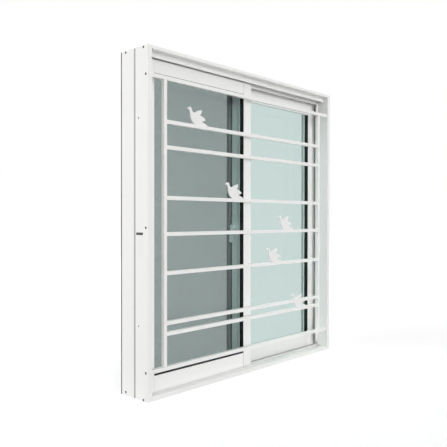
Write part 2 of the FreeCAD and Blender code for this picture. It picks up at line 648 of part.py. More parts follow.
def bird_wire(x, z):
    """The outline of a perched bird with raised wings, feet at x on height z."""
    middle = BAR_FRONT + (BAR_SIZE - BIRD_THICKNESS) / 2
    beak = (-50, 50)
    crown = (-44, 54)
    nape = (-30, 50)
    shoulder = (-14, 40)
    wing_tip = (17, 52)
    wing_root = (9, 33)
    second_tip = (37, 19)
    rump = (17, 13)
    tail_tip = (46, 3)
    tail_foot = (42, 0)
    foot = (-8, 0)
    breast = (-36, 32)
    throat = (-41, 46)
    scale = BIRD_LENGTH / (tail_tip[0] - beak[0])

    def spot(across, up):
        return point(x + across * scale, middle, z + up * scale)

    def arc(start, through, end):
        return Part.Arc(spot(*start), spot(*through), spot(*end)).toShape()

    def line(start, end):
        return Part.LineSegment(spot(*start), spot(*end)).toShape()

    edges = [line(beak, crown), arc(crown, (-36, 56), nape), arc(nape, (-24, 41), shoulder),
             arc(shoulder, (3, 48), wing_tip), arc(wing_tip, (16, 42), wing_root),
             arc(wing_root, (24, 29), second_tip), arc(second_tip, (28, 17), rump),
             line(rump, tail_tip), line(tail_tip, tail_foot), line(tail_foot, foot),
             arc(foot, (-28, 11), breast), arc(breast, (-37, 40), throat), line(throat, beak)]
    return Part.Wire(edges)


def bird(x, z):
    """A flat bird silhouette, cut clear of the bars that it crosses."""
    plate = Part.Face(bird_wire(x, z)).extrude(FreeCAD.Vector(0, BIRD_THICKNESS, 0))
    half = BAR_SIZE / 2
    for height in BAR_HEIGHTS.values():
        plate = plate.cut(box(-HALF_WIDTH, HALF_WIDTH, BAR_FRONT, BAR_BACK, height - half, height + half))
    return plate


def grille():
    """The grille: four outer bars, the inner bars and the birds."""
    export("grille_top_bar", level_bar(-FRAME_INSIDE, FRAME_INSIDE, TOP_BAR_HEIGHT))
    export("grille_bottom_bar", level_bar(-FRAME_INSIDE, FRAME_INSIDE, BOTTOM_BAR_HEIGHT))
    export("grille_left_bar", side_bar(-1))
    export("grille_right_bar", side_bar(1))
    for name, height in BAR_HEIGHTS.items():
        export("grille_" + name, level_bar(-SIDE_BAR_INNER, SIDE_BAR_INNER, height))
    birds = [bird(share * HALF_WIDTH, BAR_HEIGHTS[name] + BAR_SIZE / 2)
             for name, share in BIRD_SHARES.items()]
    export("grille_birds", *birds)


# Crescent lock on the meeting stiles

LOCK_DEPTH = REAR_TRACK + (SASH_THICKNESS - LOCK_PLATE_WIDTH) / 2 - SASH_WALL
LOCK_FACE = -REAR_SASH_REACH


def lock_plate():
    """The lock's base on the rear sash's meeting stile, with its hub."""
    low = LOCK_HEIGHT - LOCK_PLATE_LENGTH / 2
    high = LOCK_HEIGHT + LOCK_PLATE_LENGTH / 2
    half = LOCK_PLATE_WIDTH / 2
    plate = box(LOCK_FACE, LOCK_FACE - LOCK_PLATE_THICKNESS, LOCK_DEPTH - half, LOCK_DEPTH + half, low, high)
    corners = [edge for edge in plate.Edges if abs(edge.tangentAt(0).x) > 0.9]
    plate = plate.makeFillet(half / 2, corners)
    return plate


def lock_lever():
    """The lever and its crescent, which turn together on the plate."""
    base = LOCK_FACE - LOCK_PLATE_THICKNESS
    centre = point(base, LOCK_DEPTH, LOCK_HEIGHT)
    reach = LOCK_DEPTH - (FRONT_TRACK + SASH_THICKNESS / 2 + KEEPER_THICKNESS + COVER_CLEARANCE)
    away = FreeCAD.Vector(-1, 0, 0)
    crescent = Part.makeCylinder(reach, CRESCENT_THICKNESS, centre, away, CRESCENT_ANGLE)
    hub_length = CRESCENT_THICKNESS + LOCK_HUB_LENGTH
    hub = Part.makeCylinder(LOCK_HUB_RADIUS, hub_length, centre, away)
    forward = FreeCAD.Vector(0, -1, 0)
    middle = crescent.CenterOfMass - centre
    turn = math.degrees(math.atan2(middle.y * forward.z - middle.z * forward.y,
                                   middle.y * forward.y + middle.z * forward.z))
    crescent.rotate(centre, FreeCAD.Vector(1, 0, 0), turn)
    outer = base - hub_length
    half = LEVER_WIDTH / 2
    tip = LOCK_HEIGHT - LEVER_LENGTH + half
    arm = box(outer, outer + LEVER_THICKNESS, LOCK_DEPTH - half, LOCK_DEPTH + half, LOCK_HEIGHT, tip)
    end = cylinder(half, point(outer, LOCK_DEPTH, tip), point(outer + LEVER_THICKNESS, LOCK_DEPTH, tip))
    handle = arm.fuse(end)
    handle.rotate(centre, FreeCAD.Vector(1, 0, 0), LEVER_LEAN)
    return hub.fuse(crescent).fuse(handle)


def lock_keeper():
    """The keeper on the back of the front sash's meeting stile."""
    back = FRONT_TRACK + SASH_THICKNESS / 2
    half = KEEPER_LENGTH / 2
    middle = LOCK_HEIGHT + KEEPER_RISE
    plate = box(LOCK_FACE, LOCK_FACE + KEEPER_WIDTH, back, back + KEEPER_THICKNESS,
                middle - half, middle + half)
    lip_half = KEEPER_LIP_LENGTH / 2
    lip = box(LOCK_FACE - KEEPER_LIP, LOCK_FACE, back, back + KEEPER_THICKNESS,
              LOCK_HEIGHT - lip_half, LOCK_HEIGHT + lip_half)
    return plate.fuse(lip)


def main():
    os.makedirs("parts", exist_ok=True)
    export("frame_head", head())
    export("frame_sill", sill())
    export("frame_jamb_left", jamb(-1))
    export("frame_jamb_right", jamb(1))
    export("channel_cover", channel_cover())
    half = SASH_THICKNESS / 2
    export("brush_jamb_left", jamb_brush(-1, FRONT_TRACK - half, FRONT_SASH_GAP))
    export("brush_jamb_right", jamb_brush(1, REAR_TRACK - half, REAR_SASH_GAP))
    sash("front_sash", -1, FRONT_TRACK, FRONT_SASH_GAP, FRONT_SASH_REACH, 1)
    sash("rear_sash", 1, REAR_TRACK, REAR_SASH_GAP, REAR_SASH_REACH, -1)
    screen()
    grille()
    export("lock_plate", lock_plate())
    export("lock_lever", lock_lever())
    export("lock_keeper", lock_keeper())


main()
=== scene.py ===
import math
import bpy
from mathutils import Matrix, Vector


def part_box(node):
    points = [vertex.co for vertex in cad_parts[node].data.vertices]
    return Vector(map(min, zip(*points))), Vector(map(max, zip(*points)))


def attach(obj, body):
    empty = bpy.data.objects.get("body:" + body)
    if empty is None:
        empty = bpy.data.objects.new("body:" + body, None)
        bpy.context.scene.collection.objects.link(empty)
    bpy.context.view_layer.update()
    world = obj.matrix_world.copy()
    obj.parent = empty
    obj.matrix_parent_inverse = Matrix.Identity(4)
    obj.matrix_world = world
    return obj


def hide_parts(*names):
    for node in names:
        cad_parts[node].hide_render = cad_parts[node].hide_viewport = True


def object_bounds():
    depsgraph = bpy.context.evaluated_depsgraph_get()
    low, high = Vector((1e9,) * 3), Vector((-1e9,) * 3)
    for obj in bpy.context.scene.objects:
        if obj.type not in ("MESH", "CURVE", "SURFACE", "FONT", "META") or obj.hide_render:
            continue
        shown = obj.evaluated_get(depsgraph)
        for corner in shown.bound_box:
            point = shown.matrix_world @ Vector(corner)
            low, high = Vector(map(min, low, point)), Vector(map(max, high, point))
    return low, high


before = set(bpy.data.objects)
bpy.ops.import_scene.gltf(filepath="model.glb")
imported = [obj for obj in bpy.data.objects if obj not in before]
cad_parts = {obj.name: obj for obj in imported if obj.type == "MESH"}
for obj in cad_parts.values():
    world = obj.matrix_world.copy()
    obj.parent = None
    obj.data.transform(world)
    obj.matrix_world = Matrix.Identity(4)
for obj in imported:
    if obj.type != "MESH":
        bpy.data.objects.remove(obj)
cad_low, cad_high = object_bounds()

# A white aluminium sliding window with a bird grille. Metres, +X right as seen from
# outdoors, +Y towards the room, +Z up, the sill's underside on the floor at Z 0.

MM = 0.001
BODY = "root"

# Camera: outdoors, left of the window, at half its height
CAMERA_PLACE = (-1.6222, -1.4351, 0.5681)
CAMERA_YAW = 46.791
CAMERA_PITCH = -0.525
CAMERA_ROLL = 0.064
CAMERA_LENS = 46.08
CAMERA_SENSOR = 36.0
CAMERA_REACH = (0.05, 60.0)

# Wide even lights: degrees to the left of straight on, degrees above level, strength
LOW_LIGHT = (10.0, 6.0, 1.98)
HIGH_LIGHT = (35.0, 55.0, 0.86)
SOFT_ANGLE = 40.0
SOFT_AWAY = 4.0

# Flat lamps: place, width and height, power; both face the middle of the window
SIDE_LAMP = ((-4.1, 1.2, 1.2), (2.6, 2.6), 78.0)
BACK_LAMP = ((1.4, 4.4, 2.0), (3.0, 3.0), 95.0)
LAMP_AIM = (0.0, 0.0, 0.55)

# World and floor: the sky's own light, the white that the panes pass on, and the floor's glow
# in the camera's view, from near the window to far
SKY_STRENGTH = 0.14
PANE_LIGHT = 4.0
FLOOR_SIZE = 30.0
FLOOR_PALE = (0.80, 0.80, 0.80, 1)
FLOOR_LIGHT = 0.06
FLOOR_NEAR = (1.0, 0.42)
FLOOR_FAR = (4.0, 0.62)

# Colours of the finishes, and of painted light and shade where noted
COAT_WHITE = (0.862, 0.859, 0.846)
COAT_SHADE = (0.81, 0.808, 0.796)
# The sashes' whites, brighter than the frame's: painted light for their recessed place
SASH_PAINTED_LIGHT_WHITE = (0.885, 0.880, 0.872)
SASH_PAINTED_LIGHT_SHADE = (0.84, 0.835, 0.828)
# The bottom rails: the front one's white painted lighter (painted light), the rear one's darker
# (painted shade)
FRONT_RAIL_PAINTED_LIGHT_WHITE = (0.925, 0.920, 0.912)
REAR_RAIL_PAINTED_SHADE_WHITE = (0.80, 0.797, 0.79)
BIRD_WHITE = (0.84, 0.837, 0.83)
BIRD_SHADE = (0.79, 0.787, 0.78)
SCREEN_GREY = (0.17, 0.17, 0.175)
SCREEN_SHADE = (0.13, 0.13, 0.135)
GLASS_TINT = (0.575, 0.690, 0.668)
RUBBER_BLACK = (0.008, 0.008, 0.009)
PILE_BLACK = (0.02, 0.02, 0.022)
PILE_GREY = (0.34, 0.34, 0.34)
SPLINE_GREY = (0.27, 0.27, 0.275)
LOCK_ENAMEL = (0.92, 0.918, 0.91)
LOCK_SHADE = (0.84, 0.835, 0.82)
CLOTH_DARK = (0.074, 0.057, 0.059)
ROLLER_WHITE = (0.70, 0.70, 0.68)
SCREW_BROWN = (0.060, 0.042, 0.030)
# Near-black strip in the jambs' rear grooves: painted shade for the grooves' dark line
SEAL_GROOVE_SHADE_GREY = (0.015, 0.015, 0.015)
# Grey strip in the jambs' anchor grooves: painted shade for the grooves' dark line
ANCHOR_GROOVE_SHADE_GREY = (0.40, 0.40, 0.402)
JOINT_GREY = (0.20, 0.20, 0.20)
LABEL_DARK = (0.03, 0.03, 0.03)
LABEL_PALE = (0.84, 0.84, 0.83)

# Coats: their roughness, and the scale of their orange peel per metre
FRAME_COAT = (0.36, 1100.0)
SASH_COAT = (0.34, 1200.0)
GRILLE_COAT = (0.32, 1000.0)
SCREEN_COAT = (0.40, 1300.0)
LOCK_COAT = (0.20, 500.0)
LOCK_METALLIC = 0.15

# Wear along the edges and painted shade in the nooks of every coat, and the dull bloom on rubber
WEAR_WIDTH = 0.7 * MM
WEAR_PATCHES = 70.0
NOOK_SHADE_REACH = 4.0 * MM
RUBBER_BLOOM = 0.012

# Radii of the rounded edges, and the distance within which loose corners are merged first
FRAME_EDGE = 0.35 * MM
SASH_EDGE = 0.3 * MM
GRILLE_EDGE = 0.9 * MM
BIRD_EDGE = 0.5 * MM
LOCK_EDGE = 0.6 * MM
SCREW_EDGE = 0.3 * MM
STRIP_EDGE = 0.25 * MM
MERGE_DISTANCE = 0.002 * MM

# Blank label on the left jamb: the middle and half sizes of its parts along Y and Z
LABEL_BAND = (-27.7 * MM, 519.5 * MM, 16.6 * MM, 3.9 * MM)
LABEL_SHEET = (-27.7 * MM, 479.5 * MM, 17.0 * MM, 34.0 * MM)
LABEL_DEPTH = 0.2 * MM

# Screw heads in the jambs: a head's size and cross recess, and its places along Y and Z
SCREW_RADIUS = 4.1 * MM
SCREW_DEPTH = 1.4 * MM
SCREW_SUNK = 0.1 * MM
CROSS_WIDTH = 1.1 * MM
CROSS_LENGTH = 4.4 * MM
CROSS_DEPTH = 0.8 * MM
SCREW_PLACES = [(-46.5 * MM, 1094.9 * MM), (42.5 * MM, 1094.9 * MM), (-46.5 * MM, 5.1 * MM),
                (42.5 * MM, 11.5 * MM), (-57.65 * MM, 90.5 * MM), (-57.65 * MM, 538.45 * MM),
                (-57.65 * MM, 1011.0 * MM)]

# Dark strips in the grooves of the jambs' outer faces, painted shade for the grooves' dark lines:
# start and end along Y, the grooves' depth, how far in a strip's face lies, and the channel along
# it
SEAL_GROOVE_SHADE_SPAN = (62.45 * MM, 66.85 * MM)
ANCHOR_GROOVE_SHADE_SPAN = (-7.45 * MM, 0.45 * MM)
GROOVE_FLOOR = 3.38 * MM
SEAL_GROOVE_SHADE_SUNK = 0.15 * MM
ANCHOR_GROOVE_SHADE_SUNK = 0.15 * MM
STRIP_CHANNEL = 0.9 * MM
STRIP_CHANNEL_DEPTH = 0.4 * MM
STRIP_END_GAP = 1.0 * MM

# Trim on the sashes, in millimetres: start and end along X, Y and Z, and the radius of the edges.
# A black wedge along the upper edge of the front sash's bottom rail, a thin black line in its top
# rail, a white bead under the rear sash's top rail, and sealant where the front sash's rails meet
# its meeting stile.
WEDGE = ((-447.6, -17.4), (-31.0, -28.2), (65.6, 71.2), 0.5)
TOP_RAIL_BLACK_LINE = ((-447.6, -17.4), (-31.0, -29.9), (1028.2, 1029.3), 0.3)
REAR_BEAD = ((28.8, 447.6), (-0.2, 13.8), (1016.9, 1022.4), 0.6)
JOINT_LOW = ((-17.85, -16.95), (-30.75, -29.9), (13.0, 66.0), 0.2)
JOINT_HIGH = ((-17.85, -16.95), (-30.75, -29.9), (1023.5, 1069.0), 0.2)

# Channel in the front of such trim: its rim and depth, as shares of the trim's narrow side
TRIM_RIM_SHARE = 0.28
TRIM_CHANNEL_SHARE = 0.08

# Insect cloth: the wires' spacing, radius, and how far each way they lie from the middle
CLOTH_PITCH = 1.25 * MM
CLOTH_WIRE_RADIUS = 0.196 * MM
CLOTH_WIRE_SHIFT = 0.35 * CLOTH_WIRE_RADIUS


# Modelling helpers

def leave_all():
    """Leave edit mode and deselect every object."""
    if bpy.context.object and bpy.context.object.mode != "OBJECT":
        bpy.ops.object.mode_set(mode="OBJECT")
    bpy.ops.object.select_all(action="DESELECT")


def take(piece):
    """Make one object the only selected and active one."""
    leave_all()
    piece.select_set(True)
    bpy.context.view_layer.objects.active = piece


def settle(piece):
    """Put a piece's place into its mesh, with the object at the origin."""
    take(piece)
    bpy.ops.object.transform_apply(location=True, rotation=True, scale=True)


def finish_piece(piece, name, material):
    """Name a piece, give it its finish and let it ride on the window."""
    piece.name = name
    piece.data.name = name
    piece.data.materials.clear()
    piece.data.materials.append(material)
    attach(piece, BODY)


def apply_modifier(piece, kind, **values):
    """Add a modifier with its values and apply it."""
    take(piece)
    modifier = piece.modifiers.new(kind.title(), kind)
    for name, value in values.items():
        setattr(modifier, name, value)
    bpy.ops.object.modifier_apply(modifier=modifier.name)


def soft_edged(node, name, material, radius):
    """The finished form of a rigid node: the same shape with its edges rounded."""
    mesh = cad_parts[node].data.copy()
    piece = bpy.data.objects.new(name, mesh)
    bpy.context.scene.collection.objects.link(piece)
    take(piece)
    bpy.ops.object.mode_set(mode="EDIT")
    bpy.ops.mesh.select_all(action="SELECT")
    bpy.ops.mesh.remove_doubles(threshold=MERGE_DISTANCE)
    bpy.ops.mesh.dissolve_limited(angle_limit=math.radians(0.5))
    bpy.ops.object.mode_set(mode="OBJECT")
    apply_modifier(piece, "BEVEL", width=radius, segments=2, limit_method="ANGLE",
                   angle_limit=math.radians(40), use_clamp_overlap=True)
    take(piece)
    bpy.ops.object.shade_smooth_by_angle(angle=math.radians(40))
    apply_modifier(piece, "WEIGHTED_NORMAL", keep_sharp=True)
    finish_piece(piece, name, material)
    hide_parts(node)


# Camera and studio

def place_camera():
    """The camera of the photo's view, fitted to the window's edges."""
    yaw, pitch, roll = (math.radians(a) for a in (CAMERA_YAW, CAMERA_PITCH, CAMERA_ROLL))
    forward = Vector((math.sin(yaw) * math.cos(pitch), math.cos(yaw) * math.cos(pitch),
                      math.sin(pitch)))
    level = Vector((math.cos(yaw), -math.sin(yaw), 0))
    upward = level.cross(forward)
    right = level * math.cos(roll) + upward * math.sin(roll)
    up = upward * math.cos(roll) - level * math.sin(roll)
    turn = Matrix((right, up, -forward)).transposed().to_4x4()
    data = bpy.data.cameras.new("camera")
    data.lens = CAMERA_LENS
    data.sensor_width = CAMERA_SENSOR
    data.clip_start, data.clip_end = CAMERA_REACH
    camera = bpy.data.objects.new("camera", data)
    camera.matrix_world = Matrix.Translation(CAMERA_PLACE) @ turn
    bpy.context.scene.collection.objects.link(camera)
    bpy.context.scene.camera = camera


def soft_lamp(name, place, size, power):
    """A flat lamp that faces the middle of the window."""
    bpy.ops.object.light_add(type="AREA", location=place)
    lamp = bpy.context.object
    lamp.name = name
    lamp.data.shape = "RECTANGLE"
    lamp.data.size, lamp.data.size_y = size
    lamp.data.energy = power
    lamp.visible_camera = False
    lamp.visible_transmission = False
    aim = Vector(LAMP_AIM) - Vector(place)
    lamp.rotation_euler = aim.to_track_quat("-Z", "Y").to_euler()


def soft_light(name, azimuth, height, strength):
    """A wide even light from outdoors, from a direction to the left and above."""
    aside, above = math.radians(azimuth), math.radians(height)
    toward = Vector((-math.sin(aside) * math.cos(above), -math.cos(aside) * math.cos(above),
                     math.sin(above)))
    bpy.ops.object.light_add(type="SUN", location=SOFT_AWAY * toward)
    lamp = bpy.context.object
    lamp.name = name
    lamp.data.energy = strength
    lamp.data.angle = math.radians(SOFT_ANGLE)
    lamp.visible_transmission = False
    lamp.rotation_euler = (-toward).to_track_quat("-Z", "Y").to_euler()


def seen_clearly(nodes, links, path):
    """One for rays that a mirror or a pane passes on."""
    return combine(nodes, links, "MAXIMUM", path["Is Glossy Ray"], path["Is Transmission Ray"])


def set_world():
    """A soft sky that the camera, metal and glass see as plain white."""
    world = bpy.data.worlds.new("studio")
    bpy.context.scene.world = world
    world.use_nodes = True
    nodes, links = world.node_tree.nodes, world.node_tree.links
    nodes.clear()
    light = nodes.new("ShaderNodeBackground")
    light.inputs["Strength"].default_value = SKY_STRENGTH
    white = nodes.new("ShaderNodeBackground")
    for background in (light, white):
        background.inputs["Color"].default_value = (1, 1, 1, 1)
    mix = nodes.new("ShaderNodeMixShader")
    output = nodes.new("ShaderNodeOutputWorld")
    path = nodes.new("ShaderNodeLightPath").outputs
    clear = seen_clearly(nodes, links, path)
    links.new(combine(nodes, links, "MAXIMUM", path["Is Camera Ray"], clear), mix.inputs[0])
    links.new(light.outputs[0], mix.inputs[1])
    links.new(white.outputs[0], mix.inputs[2])
    links.new(spread(nodes, links, path["Diffuse Depth"], 0.0, 1.0, 1.0, PANE_LIGHT),
              white.inputs["Strength"])
    links.new(mix.outputs[0], output.inputs[0])


def lay_floor():
    """A pale floor that keeps the window's shadow and fades to white away from it."""
    leave_all()
    bpy.ops.mesh.primitive_plane_add(size=FLOOR_SIZE, location=(0, 0, 0))
    floor = bpy.context.object
    floor.name = "floor"
    material = bpy.data.materials.new("floor_pale")
    material.use_nodes = True
    nodes, links = material.node_tree.nodes, material.node_tree.links
    nodes.clear()
    paper = nodes.new("ShaderNodeBsdfDiffuse")
    paper.inputs["Color"].default_value = FLOOR_PALE
    glow = nodes.new("ShaderNodeEmission")
    place = nodes.new("ShaderNodeTexCoord").outputs["Object"]
    away = nodes.new("ShaderNodeVectorMath")
    away.operation = "LENGTH"
    links.new(place, away.inputs[0])
    (near, dim), (far, strong) = FLOOR_NEAR, FLOOR_FAR
    links.new(spread(nodes, links, away.outputs["Value"], near, far, dim, strong),
              glow.inputs["Strength"])
    white = nodes.new("ShaderNodeEmission")
    bright = nodes.new("ShaderNodeAddShader")
    light = nodes.new("ShaderNodeEmission")
    light.inputs["Strength"].default_value = FLOOR_LIGHT
    lit = nodes.new("ShaderNodeAddShader")
    direct = nodes.new("ShaderNodeMixShader")
    beyond = nodes.new("ShaderNodeMixShader")
    output = nodes.new("ShaderNodeOutputMaterial")
    path = nodes.new("ShaderNodeLightPath").outputs
    links.new(paper.outputs[0], lit.inputs[0])
    links.new(light.outputs[0], lit.inputs[1])
    links.new(lit.outputs[0], bright.inputs[0])
    links.new(glow.outputs[0], bright.inputs[1])
    links.new(path["Is Camera Ray"], direct.inputs[0])
    links.new(lit.outputs[0], direct.inputs[1])
    links.new(bright.outputs[0], direct.inputs[2])
    links.new(seen_clearly(nodes, links, path), beyond.inputs[0])
    links.new(direct.outputs[0], beyond.inputs[1])
    links.new(white.outputs[0], beyond.inputs[2])
    links.new(beyond.outputs[0], output.inputs["Surface"])
    floor.data.materials.append(material)


def set_studio():
    """The view transform, world, lights and floor."""
    bpy.context.scene.view_settings.view_transform = "Standard"
    set_world()
    soft_light("low_light", *LOW_LIGHT)
    soft_light("high_light", *HIGH_LIGHT)
    soft_lamp("side_lamp", *SIDE_LAMP)
    soft_lamp("back_lamp", *BACK_LAMP)
    lay_floor()


# Shared effects

def new_group(name, inputs, outputs):
    """A shader node group with named value inputs and outputs."""
    group = bpy.data.node_groups.new(name, "ShaderNodeTree")
    for label, kind, value in inputs:
        socket = group.interface.new_socket(label, in_out="INPUT", socket_type=kind)
        socket.default_value = value
    for label, kind in outputs:
        group.interface.new_socket(label, in_out="OUTPUT", socket_type=kind)
    start = group.nodes.new("NodeGroupInput")
    end = group.nodes.new("NodeGroupOutput")
    return group, start, end


def noise(nodes, links, vector, scale, detail, roughness=0.5):
    """A noise texture on a vector output, with its scale per metre."""
    texture = nodes.new("ShaderNodeTexNoise")
    texture.inputs["Scale"].default_value = scale
    texture.inputs["Detail"].default_value = detail
    texture.inputs["Roughness"].default_value = roughness
    links.new(vector, texture.inputs["Vector"])
    return texture.outputs["Fac"]


def spread(nodes, links, value, low, high, new_low=0.0, new_high=1.0):
    """A value stretched from one range to another and held inside it."""
    node = nodes.new("ShaderNodeMapRange")
    node.inputs["From Min"].default_value = low
    node.inputs["From Max"].default_value = high
    node.inputs["To Min"].default_value = new_low
    node.inputs["To Max"].default_value = new_high
    links.new(value, node.inputs["Value"])
    return node.outputs["Result"]


def combine(nodes, links, operation, first, second):
    """Two values joined by one operation; each may be a number or a socket."""
    node = nodes.new("ShaderNodeMath")
    node.operation = operation
    for socket, value in zip(node.inputs, (first, second)):
        if isinstance(value, (int, float)):
            socket.default_value = value
        else:
            links.new(value, socket)
    return node.outputs[0]


def coat_grain_group():
    """Powder coat: fine orange peel, faint cloudiness and painted shade that darkens the nooks."""
    group, start, end = new_group(
        "coat_grain",
        [("Peel Scale", "NodeSocketFloat", 900.0)],
        [("Peel", "NodeSocketFloat"), ("Cloud", "NodeSocketFloat"), ("Nook Shade", "NodeSocketFloat")])
    nodes, links = group.nodes, group.links
    place = nodes.new("ShaderNodeTexCoord").outputs["Object"]
    peel = nodes.new("ShaderNodeTexNoise")
    peel.inputs["Detail"].default_value = 3.0
    links.new(place, peel.inputs["Vector"])
    links.new(start.outputs["Peel Scale"], peel.inputs["Scale"])
    links.new(peel.outputs["Fac"], end.inputs["Peel"])
    wide = noise(nodes, links, place, 5.0, 4.0, 0.6)
    fine = noise(nodes, links, place, 60.0, 3.0, 0.6)
    cloud = combine(nodes, links, "ADD", combine(nodes, links, "MULTIPLY", wide, 0.65),
                    combine(nodes, links, "MULTIPLY", fine, 0.35))
    links.new(spread(nodes, links, cloud, 0.35, 0.65), end.inputs["Cloud"])
    # Painted shade: the nook mask rises where ambient occlusion finds surfaces close by, in corners
    # and recesses
    corner = nodes.new("ShaderNodeAmbientOcclusion")
    corner.samples = 4
    corner.inputs["Distance"].default_value = NOOK_SHADE_REACH
    links.new(spread(nodes, links, corner.outputs["AO"], 0.25, 0.85, 1.0, 0.0), end.inputs["Nook Shade"])
    return group


def edge_wear_group():
    """A mask that is high along rounded edges, broken up by noise."""
    group, start, end = new_group(
        "edge_wear",
        [("Width", "NodeSocketFloat", WEAR_WIDTH), ("Break Up", "NodeSocketFloat", WEAR_PATCHES)],
        [("Edge", "NodeSocketFloat")])
    nodes, links = group.nodes, group.links
    place = nodes.new("ShaderNodeTexCoord").outputs["Object"]
    bevel = nodes.new("ShaderNodeBevel")
    bevel.samples = 4
    links.new(start.outputs["Width"], bevel.inputs["Radius"])
    flat = nodes.new("ShaderNodeNewGeometry").outputs["True Normal"]
    dot = nodes.new("ShaderNodeVectorMath")
    dot.operation = "DOT_PRODUCT"
    links.new(bevel.outputs["Normal"], dot.inputs[0])
    links.new(flat, dot.inputs[1])
    turned = spread(nodes, links, dot.outputs["Value"], 0.995, 0.90)
    breaks = nodes.new("ShaderNodeTexNoise")
    breaks.inputs["Detail"].default_value = 4.0
    links.new(place, breaks.inputs["Vector"])
    links.new(start.outputs["Break Up"], breaks.inputs["Scale"])
    patchy = spread(nodes, links, breaks.outputs["Fac"], 0.40, 0.62)
    links.new(combine(nodes, links, "MULTIPLY", turned, patchy), end.inputs["Edge"])
    return group


# Finishes

def new_material(name):
    """An empty material with one Principled surface."""
    material = bpy.data.materials.new(name)
    material.use_nodes = True
    nodes, links = material.node_tree.nodes, material.node_tree.links
    nodes.clear()
    surface = nodes.new("ShaderNodeBsdfPrincipled")
    output = nodes.new("ShaderNodeOutputMaterial")
    links.new(surface.outputs[0], output.inputs["Surface"])
    return material, nodes, links, surface


def use_group(nodes, group, **values):
    """A group placed in a material, with its own values."""
    node = nodes.new("ShaderNodeGroup")
    node.node_tree = group
    for name, value in values.items():
        node.inputs[name.replace("_", " ")].default_value = value
    return node


def mixed_colour(nodes, links, factor, first, second):
    """A colour between two, by a factor; each may be a colour or a socket."""
    node = nodes.new("ShaderNodeMix")
    node.data_type = "RGBA"
    links.new(factor, node.inputs[0])
    for socket, colour in ((node.inputs[6], first), (node.inputs[7], second)):
        if isinstance(colour, tuple):
            socket.default_value = (*colour, 1)
        else:
            links.new(colour, socket)
    return node.outputs[2]


def bump(nodes, links, surface, height, depth, strength):
    """A bump on a surface, with its depth in metres."""
    node = nodes.new("ShaderNodeBump")
    node.inputs["Strength"].default_value = strength
    node.inputs["Distance"].default_value = depth
    links.new(height, node.inputs["Height"])
    links.new(node.outputs["Normal"], surface.inputs["Normal"])


def inside_span(nodes, links, value, middle, reach):
    """One where a value lies within reach of a middle, else nothing."""
    node = nodes.new("ShaderNodeMath")
    node.operation = "COMPARE"
    node.inputs[1].default_value = middle
    node.inputs[2].default_value = reach
    links.new(value, node.inputs[0])
    return node.outputs[0]


def label_mask(nodes, links, label):
    """A mask of a flat rectangle on the left jamb's outer face."""
    middle_y, middle_z, reach_y, reach_z = label
    place = nodes.new("ShaderNodeTexCoord").outputs["Object"]
    parts = nodes.new("ShaderNodeSeparateXYZ")
    links.new(place, parts.inputs[0])
    on_face = inside_span(nodes, links, parts.outputs["X"], cad_low.x, LABEL_DEPTH)
    across = inside_span(nodes, links, parts.outputs["Y"], middle_y, reach_y)
    along = inside_span(nodes, links, parts.outputs["Z"], middle_z, reach_z)
    sheet = combine(nodes, links, "MULTIPLY", across, along)
    return combine(nodes, links, "MULTIPLY", on_face, sheet)


def coat_material(name, colour, shade, coat, effects, labelled=False, metallic=0.0):
    """Powder coat on aluminium, with painted shade in its nooks and a blank label where one is
    asked for.
    """
    roughness, peel_scale = coat
    grain, wear = effects
    material, nodes, links, surface = new_material(name)
    surface.inputs["Specular IOR Level"].default_value = 0.5
    surface.inputs["Metallic"].default_value = metallic
    fine = use_group(nodes, grain, Peel_Scale=peel_scale)
    edge = use_group(nodes, wear, Width=WEAR_WIDTH, Break_Up=WEAR_PATCHES)
    cloud = spread(nodes, links, fine.outputs["Cloud"], 0.0, 1.0, 0.0, 0.16)
    base = mixed_colour(nodes, links, cloud, colour, shade)
    # Painted shade: the coat turns towards a darker copy of its shade colour in the nooks
    nook_shade = spread(nodes, links, fine.outputs["Nook Shade"], 0.0, 1.0, 0.0, 0.5)
    nook_shaded = mixed_colour(nodes, links, nook_shade, base, tuple(0.86 * c for c in shade))
    worn = spread(nodes, links, edge.outputs["Edge"], 0.0, 1.0, 0.0, 0.35)
    face = mixed_colour(nodes, links, worn, nook_shaded, tuple(min(0.9, 1.04 * c) for c in colour))
    if labelled:
        face = mixed_colour(nodes, links, label_mask(nodes, links, LABEL_SHEET), face, LABEL_PALE)
        face = mixed_colour(nodes, links, label_mask(nodes, links, LABEL_BAND), face, LABEL_DARK)
    links.new(face, surface.inputs["Base Color"])
    rough = spread(nodes, links, fine.outputs["Cloud"], 0.0, 1.0, roughness - 0.04,
                   roughness + 0.05)
    links.new(rough, surface.inputs["Roughness"])
    bump(nodes, links, surface, fine.outputs["Peel"], 0.00004, 0.6)
    return material


def glass_material():
    """Float glass with a green tint, faintly uneven as rolled panes are."""
    material, nodes, links, surface = new_material("green_float_glass")
    surface.inputs["Transmission Weight"].default_value = 1.0
    surface.inputs["IOR"].default_value = 1.22
    place = nodes.new("ShaderNodeTexCoord").outputs["Object"]
    film = spread(nodes, links, noise(nodes, links, place, 7.0, 4.0, 0.6), 0.35, 0.70, 0.0, 1.0)
    tint = mixed_colour(nodes, links, film, GLASS_TINT, tuple(0.985 * c for c in GLASS_TINT))
    links.new(tint, surface.inputs["Base Color"])
    links.new(spread(nodes, links, film, 0.0, 1.0, 0.0, 0.012), surface.inputs["Roughness"])
    bump(nodes, links, surface, noise(nodes, links, place, 3.0, 1.0), 0.0002, 0.15)
    return material


